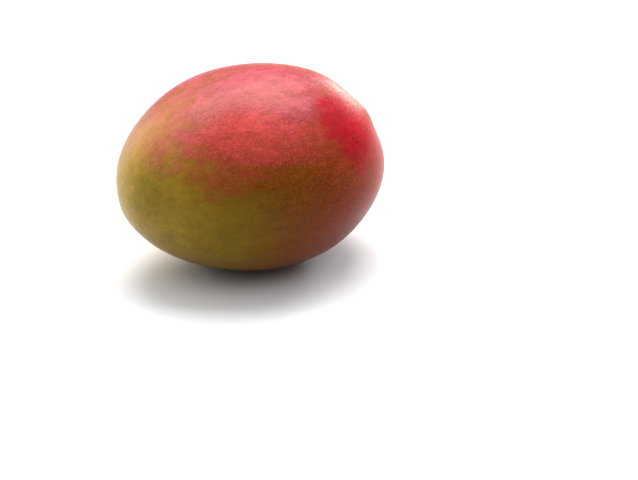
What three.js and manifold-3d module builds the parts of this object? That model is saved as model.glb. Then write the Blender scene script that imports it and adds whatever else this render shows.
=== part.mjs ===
// A whole ripe mango as picked, lying on its side on a table. It is one grown piece, so it is one
// solid: the fruit with the hollow at its stem end, and the scar where the stalk broke off.
import * as THREE from "three";
import { mergeVertices } from "three/addons/utils/BufferGeometryUtils.js";
import Module from "manifold-3d";

const wasm = await Module();
wasm.setup();

// Driving dimensions in millimetres and angles in degrees. In the fruit's own frame X runs from the
// tip (-) to the stem end (+), Y from one cheek to the other, and Z from the back (-) to the belly (+).
const LENGTH = 120;
const THICKNESS = 87.4;
const WIDTH = 91.5;
const TAPER = 0.05;
const TIP_BLUNTNESS = -0.006;
const BELLY_DROOP = 2.3;
const RESTING_ROLL = -16.6;
const RESTING_PITCH = 2.6;
const FOOT_DEPTH = 0.9;

// The way the stem scar faces, from the middle of the fruit.
const STEM_TOWARDS = facing(0.851, 0.062, 0.354);

// Swellings (+) and dips (-) of the skin: the way each faces, its spread in radians, and its height.
const RELIEF = [
  { name: "stem basin", towards: STEM_TOWARDS, spread: 0.255, height: -6.9 },
  { name: "stem funnel", towards: STEM_TOWARDS, spread: 0.08, height: -2.2 },
  { name: "full shoulder", towards: facing(0.95, 0, -0.2), spread: 0.357, height: 0.74 },
  { name: "near lip", towards: facing(0.88, -0.28, 0.381), spread: 0.113, height: 1.62 },
  { name: "far lip", towards: facing(0.74, 0.42, 0.5), spread: 0.16, height: 0.8 },
  { name: "flat of the back", towards: facing(0.37, 0, -0.95), spread: 0.427, height: -0.25 },
  { name: "beak at the tip", towards: facing(-0.97, 0.1, -0.22), spread: 0.13, height: 0.6 },
];

// Soft folds that run out of the stem hollow: how many lie round it, how high, and turned how far.
const FOLDS = [
  { count: 3, height: 0.32, turn: 0.7 },
  { count: 5, height: 0.2, turn: 2.4 },
];
const FOLD_RADIUS = 0.2;
const FOLD_SPREAD = 0.11;

// Broad unevenness of the skin, as slow waves over the fruit.
const WAVE_HEIGHT = 0.22;
const WAVES = [
  { along: new THREE.Vector3(5.1, 2.3, -3.2), start: 0.4 },
  { along: new THREE.Vector3(-2.2, 6.0, 3.7), start: 2.1 },
  { along: new THREE.Vector3(3.4, -4.1, 5.6), start: 4.4 },
];

// The stem scar: a low woody button with a dished top. Its radii are angles seen from the middle.
const SCAR_HEIGHT = 1.5;
const SCAR_RADIUS = 0.054;
const SCAR_DISH_DEPTH = 0.6;
const SCAR_DISH_RADIUS = 0.026;

// Mesh fineness: steps round the stem axis, and rings on the scar, in the hollow and over the rest.
const STEPS_ROUND = 72;
const RING_ZONES = [
  { end: 0.08, rings: 6 },
  { end: 0.5, rings: 11 },
  { end: Math.PI, rings: 34 },
];

const radians = THREE.MathUtils.degToRad;

function facing(x, y, z) {
  return new THREE.Vector3(x, y, z).normalize();
}

// Outward direction of the plain ellipsoid under the skin.
function outwardAt(u) {
  return new THREE.Vector3(u.x / LENGTH, u.y / THICKNESS, u.z / WIDTH).normalize();
}

function foldHeight(u) {
  const across = new THREE.Vector3(0, 1, 0).cross(STEM_TOWARDS).normalize();
  const up = STEM_TOWARDS.clone().cross(across);
  const angle = Math.atan2(u.dot(up), u.dot(across));
  const away = (u.angleTo(STEM_TOWARDS) - FOLD_RADIUS) / FOLD_SPREAD;
  const folds = FOLDS.reduce((sum, fold) => sum + fold.height * Math.cos(fold.count * angle + fold.turn), 0);
  return folds * Math.exp(-away * away);
}

function waveHeight(u) {
  return WAVES.reduce((sum, wave) => sum + WAVE_HEIGHT * Math.sin(u.dot(wave.along) + wave.start), 0);
}

function scarHeight(u) {
  const away = u.angleTo(STEM_TOWARDS);
  const button = SCAR_HEIGHT / (1 + (away / SCAR_RADIUS) ** 12);
  return button - SCAR_DISH_DEPTH * Math.exp(-((away / SCAR_DISH_RADIUS) ** 2));
}

// The point of the skin that lies towards the unit vector u from the fruit's middle.
function skinPoint(u) {
  const fullness = 1 + TAPER * u.x;
  const body = new THREE.Vector3(
    (LENGTH / 2) * (u.x + TIP_BLUNTNESS * (u.x ** 3 - u.x)),
    (THICKNESS / 2) * fullness * u.y,
    (WIDTH / 2) * fullness * u.z + BELLY_DROOP * (u.x ** 3 - 0.6 * u.x),
  );
  const relief = RELIEF.reduce(
    (sum, part) => sum + part.height * Math.exp((u.dot(part.towards) - 1) / part.spread ** 2),
    0,
  );
  const height = relief + foldHeight(u) + waveHeight(u) + scarHeight(u);
  return body.addScaledVector(outwardAt(u), height);
}

// A ball with its poles on the stem axis, closely ringed at the stem, and drawn out to skinPoint.
function skinGeometry() {
  const angles = [0];
  for (const { end, rings } of RING_ZONES) {
    const start = angles[angles.length - 1];
    for (let i = 1; i <= rings; i++) angles.push(start + ((end - start) * i) / rings);
  }
  const circle = angles.map((angle) => new THREE.Vector2(Math.sin(angle), Math.cos(angle)));
  circle[circle.length - 1].x = 0;
  const ball = new THREE.LatheGeometry(circle.reverse(), STEPS_ROUND);
  ball.applyQuaternion(new THREE.Quaternion().setFromUnitVectors(new THREE.Vector3(0, 1, 0), STEM_TOWARDS));
  const places = ball.attributes.position;
  for (let i = 0; i < places.count; i++) {
    const u = new THREE.Vector3().fromBufferAttribute(places, i).normalize();
    places.setXYZ(i, ...skinPoint(u).toArray());
  }
  return ball;
}

// A closed solid from a geometry whose seam and poles still have doubled vertices.
function solidFrom(geometry) {
  const bare = geometry.clone();
  bare.deleteAttribute("normal");
  bare.deleteAttribute("uv");
  const merged = mergeVertices(bare, 1e-3);
  const corners = merged.index.array;
  const faces = [];
  for (let i = 0; i < corners.length; i += 3) {
    const [a, b, c] = corners.slice(i, i + 3);
    if (a !== b && b !== c && c !== a) faces.push(a, b, c);
  }
  return new wasm.Manifold(
    new wasm.Mesh({
      numProp: 3,
      vertProperties: new Float32Array(merged.attributes.position.array),
      triVerts: new Uint32Array(faces),
    }),
  );
}

function geometryFrom(solid) {
  const mesh = solid.getMesh();
  const geometry = new THREE.BufferGeometry();
  geometry.setAttribute("position", new THREE.BufferAttribute(new Float32Array(mesh.vertProperties), 3));
  geometry.setIndex(new THREE.BufferAttribute(new Uint32Array(mesh.triVerts), 1));
  geometry.computeVertexNormals();
  return geometry;
}

// The skin turned to the way the fruit lies, with the foot's plane on z = 0 under the middle of its box.
function lyingSkin() {
  const skin = skinGeometry();
  skin.rotateX(radians(RESTING_ROLL));
  skin.rotateY(-radians(RESTING_PITCH));
  skin.computeBoundingBox();
  const middle = skin.boundingBox.getCenter(new THREE.Vector3());
  return skin.translate(-middle.x, -middle.y, -skin.boundingBox.min.z - FOOT_DEPTH);
}

function fruitMesh() {
  const below = new THREE.BoxGeometry(2 * LENGTH, 2 * LENGTH, LENGTH).translate(0, 0, -LENGTH / 2);
  const solid = solidFrom(lyingSkin()).subtract(solidFrom(below));
  const material = new THREE.MeshStandardMaterial({ color: 0xb4503c, roughness: 0.45, metalness: 0 });
  const mesh = new THREE.Mesh(geometryFrom(solid), material);
  mesh.name = "mango_fruit";
  return mesh;
}

const mango = new THREE.Group();
mango.add(fruitMesh());

export default mango;
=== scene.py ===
"""A whole ripe mango lying on its side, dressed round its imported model."""
import logging
import math
from dataclasses import dataclass, field
from enum import Enum

import bmesh
import bpy
import numpy as np
from mathutils import Matrix, Vector


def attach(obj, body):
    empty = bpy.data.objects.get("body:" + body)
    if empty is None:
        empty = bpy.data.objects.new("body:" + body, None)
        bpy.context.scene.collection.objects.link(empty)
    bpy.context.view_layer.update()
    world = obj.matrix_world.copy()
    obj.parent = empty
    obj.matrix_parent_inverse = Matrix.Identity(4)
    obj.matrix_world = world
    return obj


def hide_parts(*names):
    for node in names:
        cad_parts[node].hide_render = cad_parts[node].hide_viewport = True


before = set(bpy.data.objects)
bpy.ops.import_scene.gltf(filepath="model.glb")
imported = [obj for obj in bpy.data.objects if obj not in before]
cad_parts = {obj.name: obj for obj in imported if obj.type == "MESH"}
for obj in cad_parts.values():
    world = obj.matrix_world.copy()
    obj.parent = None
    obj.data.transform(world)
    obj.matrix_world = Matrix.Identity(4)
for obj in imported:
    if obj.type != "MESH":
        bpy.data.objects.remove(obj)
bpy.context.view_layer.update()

log = logging.getLogger("mango")

MM = 0.001
Direction = tuple[float, float, float]
Colour = tuple[float, float, float]
Stops = tuple[tuple[float, Colour], ...]

STEM_TOWARDS: Direction = (0.851, 0.062, 0.354)
SHOULDER_TOWARDS: Direction = (0.645, -0.65, 0.415)
LENGTHWISE: Direction = (1.0, 0.0, 0.0)
TIP_TOWARDS: Direction = (-1.0, 0.0, 0.0)
FAR_CHEEK_TOWARDS: Direction = (0.0, 1.0, 0.0)


def unit(vector: Direction) -> np.ndarray:
    """Return the vector at a length of one."""
    whole = np.array(vector, dtype=float)
    return whole / np.linalg.norm(whole)


@dataclass(frozen=True)
class Swelling:
    """A swelling or dip of the skin.

    Args:
        towards: The way it faces from the middle, in the fruit's own frame.
        spread: How far it spreads, in radians.
        height: Its height in millimetres, below zero for a dip.
    """

    towards: Direction
    spread: float
    height: float

    def lift(self, u: np.ndarray) -> np.ndarray:
        """Return its height at each unit direction."""
        return self.height * np.exp((u @ unit(self.towards) - 1.0) / self.spread**2)


@dataclass(frozen=True)
class Wave:
    """A slow wave over the whole skin, as a vector of turns and a starting phase."""

    along: Direction
    start: float

    def lift(self, u: np.ndarray) -> np.ndarray:
        """Return the wave between -1 and 1 at each unit direction."""
        return np.sin(u @ np.array(self.along) + self.start)


@dataclass(frozen=True)
class Fold:
    """A ring of soft folds round the stem, with their number, height in mm and turn in radians."""

    count: int
    height: float
    turn: float


@dataclass(frozen=True)
class FruitForm:
    """The fruit's form, in millimetres, radians and degrees, in its own frame.

    X runs from the tip to the stem end, Y from cheek to cheek and Z from the back to the belly.
    """

    length: float = 120.0
    thickness: float = 87.4
    width: float = 91.5
    taper: float = 0.05
    tip_bluntness: float = -0.006
    belly_droop: float = 2.3
    droop_balance: float = 0.6
    resting_roll: float = -16.6
    resting_pitch: float = 2.6
    foot_depth: float = 0.9
    relief: tuple[Swelling, ...] = (
        Swelling(STEM_TOWARDS, 0.255, -6.9),
        Swelling(STEM_TOWARDS, 0.08, -2.2),
        Swelling((0.95, 0.0, -0.2), 0.357, 0.74),
        Swelling((0.88, -0.28, 0.381), 0.113, 1.62),
        Swelling((0.74, 0.42, 0.5), 0.16, 0.8),
        Swelling((0.37, 0.0, -0.95), 0.427, -0.25),
        Swelling((-0.97, 0.1, -0.22), 0.13, 0.6),
    )
    folds: tuple[Fold, ...] = (Fold(3, 0.32, 0.7), Fold(5, 0.2, 2.4))
    fold_radius: float = 0.2
    fold_spread: float = 0.11
    wave_height: float = 0.22
    waves: tuple[Wave, ...] = (
        Wave((5.1, 2.3, -3.2), 0.4),
        Wave((-2.2, 6.0, 3.7), 2.1),
        Wave((3.4, -4.1, 5.6), 4.4),
    )
    scar_height: float = 1.5
    scar_radius: float = 0.054
    scar_steepness: int = 12
    scar_dish_depth: float = 0.6
    scar_dish_radius: float = 0.026

    def half_sizes(self) -> np.ndarray:
        """Return half the length, thickness and width."""
        return np.array([self.length, self.thickness, self.width]) / 2

    def turn(self) -> Matrix:
        """Return the rotation from the fruit's own frame to the way it lies."""
        pitch = Matrix.Rotation(-math.radians(self.resting_pitch), 3, "Y")
        return pitch @ Matrix.Rotation(math.radians(self.resting_roll), 3, "X")

    def outward(self, u: np.ndarray) -> np.ndarray:
        """Return the outward direction of the plain ellipsoid under the skin."""
        slope = u / self.half_sizes()
        return slope / np.linalg.norm(slope, axis=1, keepdims=True)

    def from_stem(self, u: np.ndarray) -> tuple[np.ndarray, np.ndarray]:
        """Return each direction's angle away from the stem, and its angle round it."""
        stem = unit(STEM_TOWARDS)
        across = unit(tuple(np.cross((0.0, 1.0, 0.0), stem)))
        up = np.cross(stem, across)
        away = np.arccos(np.clip(u @ stem, -1.0, 1.0))
        return away, np.arctan2(u @ up, u @ across)

    def fold_lift(self, u: np.ndarray) -> np.ndarray:
        """Return the height of the folds that run out of the hollow."""
        away, angle = self.from_stem(u)
        folds = sum(fold.height * np.cos(fold.count * angle + fold.turn) for fold in self.folds)
        return folds * np.exp(-(((away - self.fold_radius) / self.fold_spread) ** 2))

    def scar_lift(self, u: np.ndarray) -> np.ndarray:
        """Return the height of the stem scar's button and its dished top."""
        away, _ = self.from_stem(u)
        button = self.scar_height / (1.0 + (away / self.scar_radius) ** self.scar_steepness)
        return button - self.scar_dish_depth * np.exp(-((away / self.scar_dish_radius) ** 2))

    def skin(self, u: np.ndarray) -> np.ndarray:
        """Return the skin's points in the fruit's own frame.

        Args:
            u: Unit directions from the middle, one a row.

        Returns:
            The points in millimetres, one a row.
        """
        x, y, z = u.T
        fullness = 1.0 + self.taper * x
        half = self.half_sizes()
        body = np.stack(
            [
                half[0] * (x + self.tip_bluntness * (x**3 - x)),
                half[1] * fullness * y,
                half[2] * fullness * z + self.belly_droop * (x**3 - self.droop_balance * x),
            ],
            axis=1,
        )
        lift = sum(swelling.lift(u) for swelling in self.relief)
        lift = lift + self.wave_height * sum(wave.lift(u) for wave in self.waves)
        lift = lift + self.fold_lift(u) + self.scar_lift(u)
        return body + self.outward(u) * lift[:, None]


class Op(Enum):
    """The sums that the finishes use on values."""

    ADD = "ADD"
    SUBTRACT = "SUBTRACT"
    MULTIPLY = "MULTIPLY"
    MORE = "MAXIMUM"
    SOFT_MORE = "SMOOTH_MAX"


class Blend(Enum):
    """How one colour is laid over another."""

    COVER = "MIX"
    STAIN = "MULTIPLY"


Socket = bpy.types.NodeSocket
Value = float | Socket


@dataclass(frozen=True)
class Grain:
    """A noise texture.

    Args:
        scale: How many waves there are to a unit of the point.
        detail: How many finer layers it has.
        roughness: How strong the finer layers are.
        draw: What the point is scaled by first. A low side draws the grain out along it.
        seed: Which of the noise's patterns it takes.
    """

    scale: float
    detail: float = 3.0
    roughness: float = 0.5
    draw: Direction = (1.0, 1.0, 1.0)
    seed: float = 0.0


@dataclass(frozen=True)
class Dots:
    """Scattered pale dots.

    Args:
        cells: How many cells there are to a metre, with a dot in each.
        size: The largest dot's radius, as a share of a cell.
        softness: The width of a dot's soft edge, as a share of a cell.
        share: How much of a dot's colour shows.
    """

    cells: float
    size: float
    softness: float
    share: float


@dataclass
class Bench:
    """Lays out the shader nodes of one material, or of the surroundings."""

    tree: bpy.types.NodeTree

    def node(self, kind: str, inputs: dict[str | int, object], **settings: object) -> bpy.types.Node:
        """Add a node.

        Args:
            kind: The node's type, without its leading ShaderNode.
            inputs: Values or sockets for its inputs, by name or number.
            settings: Its other settings.

        Returns:
            The node.
        """
        node = self.tree.nodes.new("ShaderNode" + kind)
        for name, setting in settings.items():
            setattr(node, name, setting)
        for name, given in inputs.items():
            if isinstance(given, Socket):
                self.tree.links.new(given, node.inputs[name])
            else:
                node.inputs[name].default_value = given
        return node

    def sum(self, op: Op, first: Value, second: Value, third: Value = 0.0) -> Socket:
        """Return the sum of two values, with a third for the softness of a soft choice."""
        return self.node("Math", {0: first, 1: second, 2: third}, operation=op.value).outputs[0]

    def pull(self, value: Value, texture: Socket, share: float) -> Socket:
        """Return the value with a share of a texture added."""
        return self.sum(Op.ADD, value, self.sum(Op.MULTIPLY, texture, share))

    def towards(self, point: Socket, way: Direction) -> Socket:
        """Return how far a point lies along a unit direction."""
        along = Vector(way).normalized()
        return self.node("VectorMath", {0: point, 1: along}, operation="DOT_PRODUCT").outputs["Value"]

    def distance(self, point: Socket, centre: Vector) -> Socket:
        """Return a point's distance from a centre."""
        return self.node("VectorMath", {0: point, 1: centre}, operation="DISTANCE").outputs["Value"]

    def ease(self, value: Value, start: float, end: float, low: float = 0.0, high: float = 1.0) -> Socket:
        """Return a smooth step from low to high as the value goes from start to end."""
        inputs = {"Value": value, "From Min": start, "From Max": end, "To Min": low, "To Max": high}
        return self.node("MapRange", inputs, interpolation_type="SMOOTHSTEP").outputs["Result"]

    def noise(self, point: Socket, grain: Grain) -> Socket:
        """Return noise between about -0.5 and 0.5."""
        drawn = self.node("VectorMath", {0: point, 1: grain.draw}, operation="MULTIPLY").outputs["Vector"]
        inputs = {"Vector": drawn, "Scale": grain.scale, "W": grain.seed}
        inputs |= {"Detail": grain.detail, "Roughness": grain.roughness}
        noise = self.node("TexNoise", inputs, noise_dimensions="4D")
        return self.sum(Op.SUBTRACT, noise.outputs["Fac"], 0.5)

    def dots(self, point: Socket, dots: Dots) -> Socket:
        """Return where scattered dots of mixed sizes are, as 0 to 1."""
        cells = self.node("TexVoronoi", {"Vector": point, "Scale": dots.cells, "Randomness": 1.0})
        chance = self.node("SeparateColor", {"Color": cells.outputs["Color"]}).outputs["Red"]
        radius = self.ease(chance, 0.0, 1.0, dots.size / 2, dots.size)
        outside = self.sum(Op.SUBTRACT, cells.outputs["Distance"], radius)
        return self.ease(outside, 0.0, dots.softness, 1.0, 0.0)

    def ramp(self, value: Socket, stops: Stops) -> Socket:
        """Return the colour at a value, along stops whose places run from 0 to 1."""
        node = self.node("ValToRGB", {"Fac": value})
        elements = node.color_ramp.elements
        while len(elements) < len(stops):
            elements.new(1.0)
        for element, (place, colour) in zip(elements, stops):
            element.position = place
            element.color = (*colour, 1.0)
        return node.outputs["Color"]

    def grey(self, value: Socket) -> Socket:
        """Return a value as a colour, to stain another with."""
        return self.node("CombineColor", {"Red": value, "Green": value, "Blue": value}).outputs["Color"]

    def lay(
        self, share: Value, under: Colour | Socket, over: Colour | Socket, how: Blend = Blend.COVER
    ) -> Socket:
        """Lay one colour over another.

        Args:
            share: How much of the upper colour shows, from 0 to 1.
            under: The lower colour.
            over: The upper colour.
            how: The way they join.

        Returns:
            The joined colour.
        """
        node = self.node("Mix", {0: share}, data_type="RGBA", blend_type=how.value)
        for number, colour in ((6, under), (7, over)):
            if isinstance(colour, Socket):
                self.tree.links.new(colour, node.inputs[number])
            else:
                node.inputs[number].default_value = (*colour, 1.0)
        return node.outputs[2]


@dataclass(frozen=True)
class Canvas:
    """What the skin's finish is painted on.

    Args:
        bench: Lays out the nodes.
        place: The point in the part's frame, in metres.
        fruit: The point in the fruit's own frame, as a share of its half sizes.
        streaks: Long streaks that run from the tip to the stem.
        mottle: Small flecks, drawn out along the fruit.
        stipple: The finest grain.
    """

    bench: Bench
    place: Socket
    fruit: Socket
    streaks: Socket
    mottle: Socket
    stipple: Socket


@dataclass(frozen=True)
class Patch:
    """A soft patch of another colour on the skin.

    Args:
        towards: The way it faces from the fruit's middle, in the fruit's own frame.
        starts: How far along that way the patch starts to show.
        full: How far along that way it shows in full.
        colour: Its colour.
        share: How much of it shows at most.
        streaked: How far the streaks pull its edge.
    """

    towards: Direction
    starts: float
    full: float
    colour: Colour
    share: float
    streaked: float


@dataclass(frozen=True)
class StemScar:
    """The dry wood of the stem scar.

    The wood is full up to one distance from the scar's middle and ends at another. Both distances
    and the raggedness of its edge are in metres.
    """

    full: float = 0.0027
    ends: float = 0.0032
    raggedness: float = 0.0014
    edge: Grain = Grain(900.0)
    grain: Grain = Grain(2200.0, 4.0, 0.7)
    grain_reach: float = 0.15
    pale: Colour = (0.190, 0.115, 0.060)
    dark: Colour = (0.050, 0.028, 0.014)
    roughness: float = 0.85

    def mask(self, on: Canvas, stem_point: Vector) -> Socket:
        """Return where the wood shows, as 0 to 1."""
        from_stem = on.bench.distance(on.place, stem_point)
        ragged = on.bench.pull(from_stem, on.bench.noise(on.place, self.edge), self.raggedness)
        return on.bench.ease(ragged, self.full, self.ends, 1.0, 0.0)

    def colour(self, on: Canvas) -> Socket:
        """Return the wood's colour."""
        light = on.bench.ease(on.bench.noise(on.place, self.grain), -self.grain_reach, self.grain_reach)
        return on.bench.lay(light, self.dark, self.pale)


@dataclass(frozen=True)
class SkinFinish:
    """Waxy mango skin: yellow at the tip, olive and brown below, and a red blush over the crown.

    The ground runs from the tip to the stem end. The blush lies over it and is strongest on the
    sunny side and the crown. Their lightness is low on the belly and the near side: partly the
    skin's darker underside, partly painted shade. The far cheek is darkened with painted shade too.
    Colours are linear, and directions are in the fruit's own frame.
    """

    ground: Stops = (
        (0.02, (0.68, 0.45, 0.07)),  # straw yellow at the tip
        (0.15, (1.00, 0.62, 0.06)),  # warm yellow
        (0.32, (0.81, 0.47, 0.01)),  # olive yellow
        (0.52, (0.72, 0.15, 0.002)),  # orange brown
        (0.72, (0.74, 0.02, 0.002)),  # brick red at the stem end
    )
    reds: Stops = (
        (0.20, (0.04, 0.01, 0.002)),  # deep brown
        (0.45, (0.20, 0.06, 0.002)),  # chestnut
        (0.60, (0.24, 0.08, 0.005)),  # tawny
        (0.75, (0.30, 0.06, 0.04)),  # dull red
        (0.88, (0.37, 0.045, 0.07)),  # rose red
        (0.96, (0.45, 0.07, 0.11)),  # pink
    )
    patches: tuple[Patch, ...] = (
        # the yellow green of the far cheek and of the skin under the stem
        Patch((0.40, 0.78, -0.48), 0.45, 0.95, (0.40, 0.235, 0.025), 0.85, 0.30),
        Patch((0.88, 0.08, -0.46), 0.78, 0.97, (0.38, 0.13, 0.02), 0.80, 0.30),
        # the red band on the sunny cheek and its brighter middle
        Patch((-0.17, -0.92, 0.36), 0.86, 1.0, (0.62, 0.01, 0.002), 0.42, 0.30),
        Patch((-0.06, -0.93, 0.36), 0.94, 1.0, (0.80, 0.08, 0.06), 0.42, 0.20),
        # the rosy cheek above the tip
        Patch((-0.67, -0.43, 0.60), 0.87, 1.0, (0.60, 0.18, 0.15), 0.38, 0.25),
        # the red brown mottles under it, and those beside the shoulder
        Patch((-0.47, -0.85, 0.24), 0.92, 0.99, (0.63, 0.05, 0.05), 0.34, 0.30),
        Patch((-0.70, -0.62, 0.36), 0.95, 1.0, (0.64, 0.09, 0.10), 0.40, 0.15),
        Patch((0.42, -0.87, 0.24), 0.94, 0.99, (0.50, 0.05, 0.02), 0.60, 0.15),
        # the olive side of the tip
        Patch((-0.83, -0.55, 0.07), 0.93, 1.0, (0.23, 0.21, 0.017), 0.40, 0.20),
        # painted highlight: a paler pink patch over the middle, standing in for the soft sheen of the
        # overhead light
        Patch((0.15, -0.63, 0.76), 0.94, 1.0, (0.66, 0.155, 0.18), 0.35, 0.20),
        # the stem end and the paler ring round the stem
        Patch((0.87, 0.12, 0.44), 0.72, 0.95, (0.32, 0.03, 0.016), 0.95, 0.25),
        Patch(STEM_TOWARDS, 0.955, 1.0, (0.31, 0.13, 0.016), 0.60, 0.02),
        # the crimson shoulder, which runs down to the stem side
        Patch(SHOULDER_TOWARDS, 0.94, 0.99, (0.45, 0.001, 0.018), 0.95, 0.18),
        Patch((0.76, -0.63, 0.16), 0.95, 0.99, (0.58, 0.004, 0.02), 0.85, 0.10),
    )
    streaks: Grain = Grain(1.7, 5.0, 0.6, (1.2, 3.6, 3.6), 3.0)
    mottle: Grain = Grain(300.0, 4.0, 0.7, (0.5, 1.0, 1.0))
    stipple: Grain = Grain(1000.0, 2.0, 0.6, (0.5, 1.0, 1.0))
    mottle_reach: float = 0.3
    streaked_ground: float = 0.3
    sunny_side: Direction = (-0.03, -0.64, 0.77)
    crown: Direction = (-0.31, 0.39, 0.86)
    crown_ahead: float = 0.03
    blush_softness: float = 0.15
    blush_starts: float = -0.06
    blush_full: float = 1.08
    streak_pull: float = 0.45
    mottle_pull: float = 0.28
    stipple_pull: float = 0.20
    # painted shade: the skin is lightest towards this side and darkest on the belly and near side, partly
    # its real darker underside
    light_side: Direction = (0.11, 0.49, 0.86)
    streaked_light: float = 0.2
    dark_at: float = -0.92
    light_at: float = 0.34
    darkest: float = 0.17
    lightest: float = 1.0
    tip_starts: float = 0.91
    tip_ends: float = 0.96
    tip_lift: float = 1.10
    # painted shade: the far cheek is darkened down to this share, against the strong light from behind
    far_side_starts: float = 0.1
    far_side_full: float = 0.9
    far_side_shaded_to: float = 0.50
    mottle_share: float = 0.25
    stipple_share: float = 0.75
    specks: Dots = Dots(1250.0, 0.22, 0.36, 0.34)
    pores: Dots = Dots(420.0, 0.10, 0.08, 0.14)
    speck_on_red: Colour = (0.88, 0.25, 0.165)
    speck_on_green: Colour = (0.66, 0.42, 0.07)
    speck_reddens: float = 0.50
    speck_red: float = 0.85
    # the specks dim with the painted shade as well
    speck_dark_from: float = 0.16
    speck_light_from: float = 0.96
    speck_darkest: float = 0.25
    speck_lightest: float = 0.78
    green_starts: float = 0.6
    green_full: float = 0.1
    specked_green: float = 0.5
    shoulder_starts: float = 0.84
    shoulder_full: float = 0.97
    specked_shoulder: float = 0.2
    scar: StemScar = StemScar()
    roughness: float = 0.36
    roughness_change: float = 0.03
    gloss: float = 0.20
    gloss_tint: Colour = (1.0, 0.75, 0.24)
    stipple_relief: float = 0.7
    speck_relief: float = 0.35
    mottle_relief: float = 0.9
    relief_strength: float = 0.5
    relief_height: float = 0.0002

    def canvas(self, bench: Bench, form: FruitForm, middle: Vector) -> Canvas:
        """Lay out the places and the textures that the finish is painted on.

        Args:
            bench: Lays out the nodes.
            form: The fruit's form.
            middle: The middle of the fruit in the part's frame, in metres.

        Returns:
            The canvas.
        """
        place = bench.node("TexCoord", {}).outputs["Object"]
        half = Vector(form.half_sizes()) * MM
        inputs = {"Vector": place, "Location": middle, "Rotation": form.turn().to_euler(), "Scale": half}
        fruit = bench.node("Mapping", inputs, vector_type="TEXTURE").outputs["Vector"]
        return Canvas(
            bench=bench,
            place=place,
            fruit=fruit,
            streaks=bench.noise(fruit, self.streaks),
            mottle=bench.noise(place, self.mottle),
            stipple=bench.noise(place, self.stipple),
        )

    def blush(self, on: Canvas) -> Socket:
        """Return the blush, which rises towards the sunny side, broken up by the skin's texture."""
        front = on.bench.towards(on.fruit, self.sunny_side)
        top = on.bench.sum(Op.ADD, on.bench.towards(on.fruit, self.crown), self.crown_ahead)
        sunny = on.bench.sum(Op.SOFT_MORE, front, top, self.blush_softness)
        sunny = on.bench.pull(sunny, on.streaks, self.streak_pull)
        sunny = on.bench.pull(sunny, on.mottle, self.mottle_pull)
        return on.bench.pull(sunny, on.stipple, self.stipple_pull)

    def mottled(self, on: Canvas, middle: float, change: float) -> Socket:
        """Return a value that the mottles raise and lower by a change."""
        reach = self.mottle_reach
        return on.bench.ease(on.mottle, -reach, reach, middle - change, middle + change)

    def tone_with_painted_shade(self, on: Canvas) -> Socket:
        """Return how light the skin is.

        Args:
            on: The canvas.

        Returns:
            The lightness with its painted shade, from 0 in the dark to a little over 1 in the light.
        """
        bench = on.bench
        # painted shade towards the belly and the near side, partly the skin's real darker underside
        light = bench.pull(bench.towards(on.fruit, self.light_side), on.streaks, self.streaked_light)
        light = bench.ease(light, self.dark_at, self.light_at, self.darkest, self.lightest)
        tipwards = bench.towards(on.fruit, TIP_TOWARDS)
        tip = bench.ease(tipwards, self.tip_starts, self.tip_ends, 1.0, self.tip_lift)
        # painted shade on the far cheek
        far = bench.towards(on.fruit, FAR_CHEEK_TOWARDS)
        far = bench.ease(far, self.far_side_starts, self.far_side_full, 1.0, self.far_side_shaded_to)
        flecks = self.mottled(on, 1.0, self.mottle_share)
        grains = bench.pull(1.0, on.stipple, self.stipple_share)
        for change in (tip, far, flecks, grains):
            light = bench.sum(Op.MULTIPLY, light, change)
        return light

    def plain_colour(self, on: Canvas, blush: Socket, tone_with_painted_shade: Socket) -> Socket:
        """Return the skin's colour before its specks.

        Args:
            on: The canvas.
            blush: How strong the blush is.
            tone_with_painted_shade: How light the skin is, painted shade included.

        Returns:
            The colour.
        """
        bench = on.bench
        along = bench.pull(bench.towards(on.fruit, LENGTHWISE), on.streaks, self.streaked_ground)
        along = bench.node("MapRange", {"Value": along, "From Min": -1.0, "From Max": 1.0}).outputs["Result"]
        covered = bench.ease(blush, self.blush_starts, self.blush_full)
        colour = bench.lay(covered, bench.ramp(along, self.ground), bench.ramp(blush, self.reds))
        for patch in self.patches:
            near = bench.pull(bench.towards(on.fruit, patch.towards), on.streaks, patch.streaked)
            shown = bench.ease(near, patch.starts, patch.full, 0.0, patch.share)
            colour = bench.lay(shown, colour, patch.colour)
        # stain the colour with its lightness, painted shade included
        return bench.lay(1.0, colour, bench.grey(tone_with_painted_shade), Blend.STAIN)

    def speck_colour(self, on: Canvas, blush: Socket, tone_with_painted_shade: Socket) -> Socket:
        """Return the colour of the specks: yellow on green skin, pink on red, and dim in the shade.

        Args:
            on: The canvas.
            blush: How strong the blush is.
            tone_with_painted_shade: How light the skin is, painted shade included.

        Returns:
            The colour.
        """
        bench = on.bench
        red = bench.ease(blush, self.speck_reddens, self.speck_red)
        pale = bench.lay(red, self.speck_on_green, self.speck_on_red)
        limits = (self.speck_dark_from, self.speck_light_from, self.speck_darkest, self.speck_lightest)
        return bench.lay(1.0, pale, bench.grey(bench.ease(tone_with_painted_shade, *limits)), Blend.STAIN)

    def specked(self, on: Canvas, specks: Socket, blush: Socket) -> Socket:
        """Return how far the specks and pores show, which is less on green skin and the shoulder.

        Args:
            on: The canvas.
            specks: Where the fine specks are.
            blush: How strong the blush is.

        Returns:
            The share.
        """
        bench = on.bench
        pores = bench.sum(Op.MULTIPLY, bench.dots(on.place, self.pores), self.pores.share)
        shown = bench.sum(Op.MORE, bench.sum(Op.MULTIPLY, specks, self.specks.share), pores)
        shoulder = bench.towards(on.fruit, SHOULDER_TOWARDS)
        shoulder = bench.ease(shoulder, self.shoulder_starts, self.shoulder_full, 1.0, self.specked_shoulder)
        green = bench.ease(blush, self.green_full, self.green_starts, self.specked_green, 1.0)
        return bench.sum(Op.MULTIPLY, shown, bench.sum(Op.MULTIPLY, shoulder, green))

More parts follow.
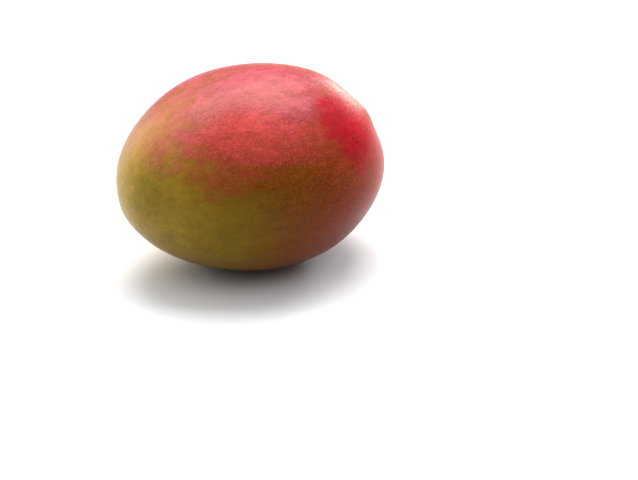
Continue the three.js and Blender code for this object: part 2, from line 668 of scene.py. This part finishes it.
    def bump(self, on: Canvas, specks: Socket) -> Socket:
        """Return the skin's normals, with the relief of its stipple, mottles and specks."""
        height = on.bench.sum(Op.MULTIPLY, on.stipple, self.stipple_relief)
        height = on.bench.pull(height, specks, self.speck_relief)
        height = on.bench.pull(height, on.mottle, self.mottle_relief)
        inputs = {"Height": height, "Strength": self.relief_strength, "Distance": self.relief_height}
        return on.bench.node("Bump", inputs).outputs["Normal"]

    def material(self, form: FruitForm, middle: Vector, stem_point: Vector) -> bpy.types.Material:
        """Make the finish.

        Args:
            form: The fruit's form.
            middle: The middle of the fruit in the part's frame, in metres.
            stem_point: The middle of the stem scar in the part's frame, in metres.

        Returns:
            The material.
        """
        material = bpy.data.materials.new("mango_skin")
        material.use_nodes = True
        bench = Bench(material.node_tree)
        on = self.canvas(bench, form, middle)
        blush = self.blush(on)
        # how light the skin is, painted shade included
        tone_with_painted_shade = self.tone_with_painted_shade(on)
        specks = bench.dots(on.place, self.specks)
        pale = self.speck_colour(on, blush, tone_with_painted_shade)
        colour = bench.lay(self.specked(on, specks, blush), self.plain_colour(on, blush, tone_with_painted_shade), pale)
        wood = self.scar.mask(on, stem_point)
        colour = bench.lay(wood, colour, self.scar.colour(on))
        rough = self.mottled(on, self.roughness, self.roughness_change)
        rough = bench.sum(Op.MORE, rough, bench.sum(Op.MULTIPLY, wood, self.scar.roughness))

        shader = material.node_tree.nodes["Principled BSDF"]
        links = material.node_tree.links
        links.new(colour, shader.inputs["Base Color"])
        links.new(rough, shader.inputs["Roughness"])
        links.new(self.bump(on, specks), shader.inputs["Normal"])
        shader.inputs["Specular IOR Level"].default_value = self.gloss
        shader.inputs["Specular Tint"].default_value = (*self.gloss_tint, 1.0)
        return material


@dataclass
class MangoSkin:
    """The fruit's skin as one closed mesh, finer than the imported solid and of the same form."""

    form: FruitForm = field(default_factory=FruitForm)
    finish: SkinFinish = field(default_factory=SkinFinish)
    steps_round: int = 360
    rings: int = 240
    ring_crowding: float = 0.4
    foot_softness: float = 0.6
    middle: Vector = field(default_factory=Vector)

    def directions(self, ball: np.ndarray) -> np.ndarray:
        """Crowd a ball's rings towards its top pole, and turn that pole to the stem.

        Args:
            ball: Points of a unit ball with its poles on Z, one a row.

        Returns:
            Unit directions in the fruit's own frame.
        """
        share = np.arccos(np.clip(ball[:, 2], -1.0, 1.0)) / math.pi
        polar = math.pi * share * (self.ring_crowding + (1.0 - self.ring_crowding) * share)
        round_z = np.arctan2(ball[:, 1], ball[:, 0])
        flat = np.sin(polar)
        crowded = np.stack([flat * np.cos(round_z), flat * np.sin(round_z), np.cos(polar)], axis=1)
        to_stem = Vector((0.0, 0.0, 1.0)).rotation_difference(Vector(STEM_TOWARDS)).to_matrix()
        return crowded @ np.array(to_stem).T

    def settle(self, points: np.ndarray) -> np.ndarray:
        """Lay the fruit down with its foot on z = 0 under the middle of its box, and flatten the foot.

        Args:
            points: The skin in the fruit's own frame, in millimetres.

        Returns:
            The skin in the part's frame, in metres.
        """
        lying = points @ np.array(self.form.turn()).T
        low, high = lying.min(axis=0), lying.max(axis=0)
        offset = np.array([-(low[0] + high[0]) / 2, -(low[1] + high[1]) / 2, -low[2] - self.form.foot_depth])
        self.middle = Vector(offset) * MM
        lying = lying + offset
        give = np.clip(self.foot_softness - np.abs(lying[:, 2]), 0.0, None) / self.foot_softness
        lying[:, 2] = np.maximum(lying[:, 2], 0.0) + give**2 * self.foot_softness / 4
        return lying * MM

    def build(self) -> bpy.types.Object:
        """Model the skin and return its object."""
        ball = bmesh.new()
        bmesh.ops.create_uvsphere(ball, u_segments=self.steps_round, v_segments=self.rings, radius=1.0)
        places = np.array([vertex.co[:] for vertex in ball.verts])
        settled = self.settle(self.form.skin(self.directions(places)))
        for vertex, place in zip(ball.verts, settled):
            vertex.co = place
        for face in ball.faces:
            face.smooth = True
        bmesh.ops.recalc_face_normals(ball, faces=ball.faces)
        mesh = bpy.data.meshes.new("mango_skin")
        ball.to_mesh(mesh)
        ball.free()
        skin = bpy.data.objects.new("mango_skin", mesh)
        bpy.context.collection.objects.link(skin)
        return skin

    def dress(self, skin: bpy.types.Object) -> None:
        """Give the skin its finish."""
        stem = self.form.skin(unit(STEM_TOWARDS)[None, :])[0] * MM
        stem_point = self.form.turn() @ Vector(stem) + self.middle
        skin.data.materials.append(self.finish.material(self.form, self.middle, stem_point))


@dataclass(frozen=True)
class Softbox:
    """A soft studio light that faces the fruit.

    Args:
        name: Its name.
        turn: Its azimuth from the camera's, in degrees, positive to the right.
        elevation: Its angle above the table, in degrees.
        distance: How far it stands from the fruit, in metres.
        size: Its width and height, in metres.
        power: Its power in watts.
    """

    name: str
    turn: float
    elevation: float
    distance: float
    size: tuple[float, float]
    power: float


@dataclass
class Studio:
    """A white table, soft light and the camera, which look at the fruit as the photograph does."""

    camera_turn: float = -18.8
    camera_elevation: float = 28.0
    camera_distance: float = 0.77884
    lens: float = 100.0
    aim: Vector = field(default_factory=lambda: Vector((0.02357, -0.02377, 0.01614)))
    lit_point: Vector = field(default_factory=lambda: Vector((0.0, 0.0, 0.04)))
    floor_radius: float = 6.0
    floor_sides: int = 96
    floor_tone: Colour = (0.9, 0.905, 0.93)
    floor_roughness: float = 0.9
    floor_gloss: float = 0.1
    sky_turn: float = 180.0
    sky_elevation: float = 78.0
    sky_starts: float = 0.2
    sky_full: float = 0.95
    sky_low: float = 0.12
    sky_high: float = 1.35
    lights: tuple[Softbox, ...] = (
        Softbox("overhead_softbox", 174.0, 74.0, 0.9, (0.8, 0.5), 9.0),
        Softbox("left_strip", -128.0, -2.0, 0.8, (0.3, 0.7), 2.2),
        Softbox("right_strip", 149.0, 14.0, 0.8, (0.3, 0.2), 3.2),
    )

    def direction(self, turn: float, elevation: float) -> Vector:
        """Return the way from the fruit to something at an azimuth and an elevation, in degrees."""
        azimuth, height = math.radians(self.camera_turn + turn), math.radians(elevation)
        level = math.cos(height)
        return Vector((math.sin(azimuth) * level, -math.cos(azimuth) * level, math.sin(height)))

    def place(self, thing: bpy.types.Object, at: Vector, facing: Vector) -> None:
        """Put a camera or lamp at a point, looking the way it faces."""
        thing.location = at
        thing.rotation_mode = "QUATERNION"
        thing.rotation_quaternion = facing.to_track_quat("-Z", "Y")
        bpy.context.collection.objects.link(thing)

    def build_camera(self) -> None:
        """Make the camera."""
        data = bpy.data.cameras.new("camera")
        data.lens = self.lens
        data.clip_end = 2 * self.floor_radius
        camera = bpy.data.objects.new("camera", data)
        away = self.direction(0.0, self.camera_elevation)
        self.place(camera, self.aim + away * self.camera_distance, -away)
        bpy.context.scene.camera = camera

    def build_lights(self) -> None:
        """Make the softboxes."""
        for light in self.lights:
            data = bpy.data.lights.new(light.name, "AREA")
            data.shape = "RECTANGLE"
            data.size, data.size_y = light.size
            data.energy = light.power
            lamp = bpy.data.objects.new(light.name, data)
            away = self.direction(light.turn, light.elevation)
            self.place(lamp, self.lit_point + away * light.distance, -away)

    def build_surroundings(self) -> None:
        """Make the surroundings: plain white to the camera, and as a light bright overhead."""
        world = bpy.data.worlds.new("white_surroundings")
        world.use_nodes = True
        bench = Bench(world.node_tree)
        background = world.node_tree.nodes["Background"]
        background.inputs["Color"].default_value = (1.0, 1.0, 1.0, 1.0)
        way = bench.node("TexCoord", {}).outputs["Generated"]
        overhead = bench.towards(way, tuple(self.direction(self.sky_turn, self.sky_elevation)))
        glow = bench.ease(overhead, self.sky_starts, self.sky_full, self.sky_low, self.sky_high)
        seen = bench.node("LightPath", {}).outputs["Is Camera Ray"]
        strength = bench.node("Mix", {0: seen, 2: glow, 3: 1.0}, data_type="FLOAT").outputs[0]
        world.node_tree.links.new(strength, background.inputs["Strength"])
        bpy.context.scene.world = world

    def build_floor(self) -> None:
        """Make the white table."""
        top = bmesh.new()
        bmesh.ops.create_circle(top, cap_ends=True, segments=self.floor_sides, radius=self.floor_radius)
        mesh = bpy.data.meshes.new("table")
        top.to_mesh(mesh)
        top.free()
        floor = bpy.data.objects.new("table", mesh)
        bpy.context.collection.objects.link(floor)
        material = bpy.data.materials.new("table_white")
        material.use_nodes = True
        shader = material.node_tree.nodes["Principled BSDF"]
        shader.inputs["Base Color"].default_value = (*self.floor_tone, 1.0)
        shader.inputs["Roughness"].default_value = self.floor_roughness
        shader.inputs["Specular IOR Level"].default_value = self.floor_gloss
        mesh.materials.append(material)

    def build(self) -> None:
        """Make the whole studio."""
        bpy.context.scene.view_settings.view_transform = "Standard"
        self.build_floor()
        self.build_lights()
        self.build_surroundings()
        self.build_camera()


def main() -> None:
    """Build the fruit and the studio, and log each piece."""
    logging.basicConfig(level=logging.INFO, format="%(message)s")
    fruit = MangoSkin()
    skin = fruit.build()
    fruit.dress(skin)
    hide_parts("mango_fruit")
    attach(skin, "root")
    log.info("mango_skin: %d faces", len(skin.data.polygons))
    Studio().build()


if __name__ == "__main__":
    main()
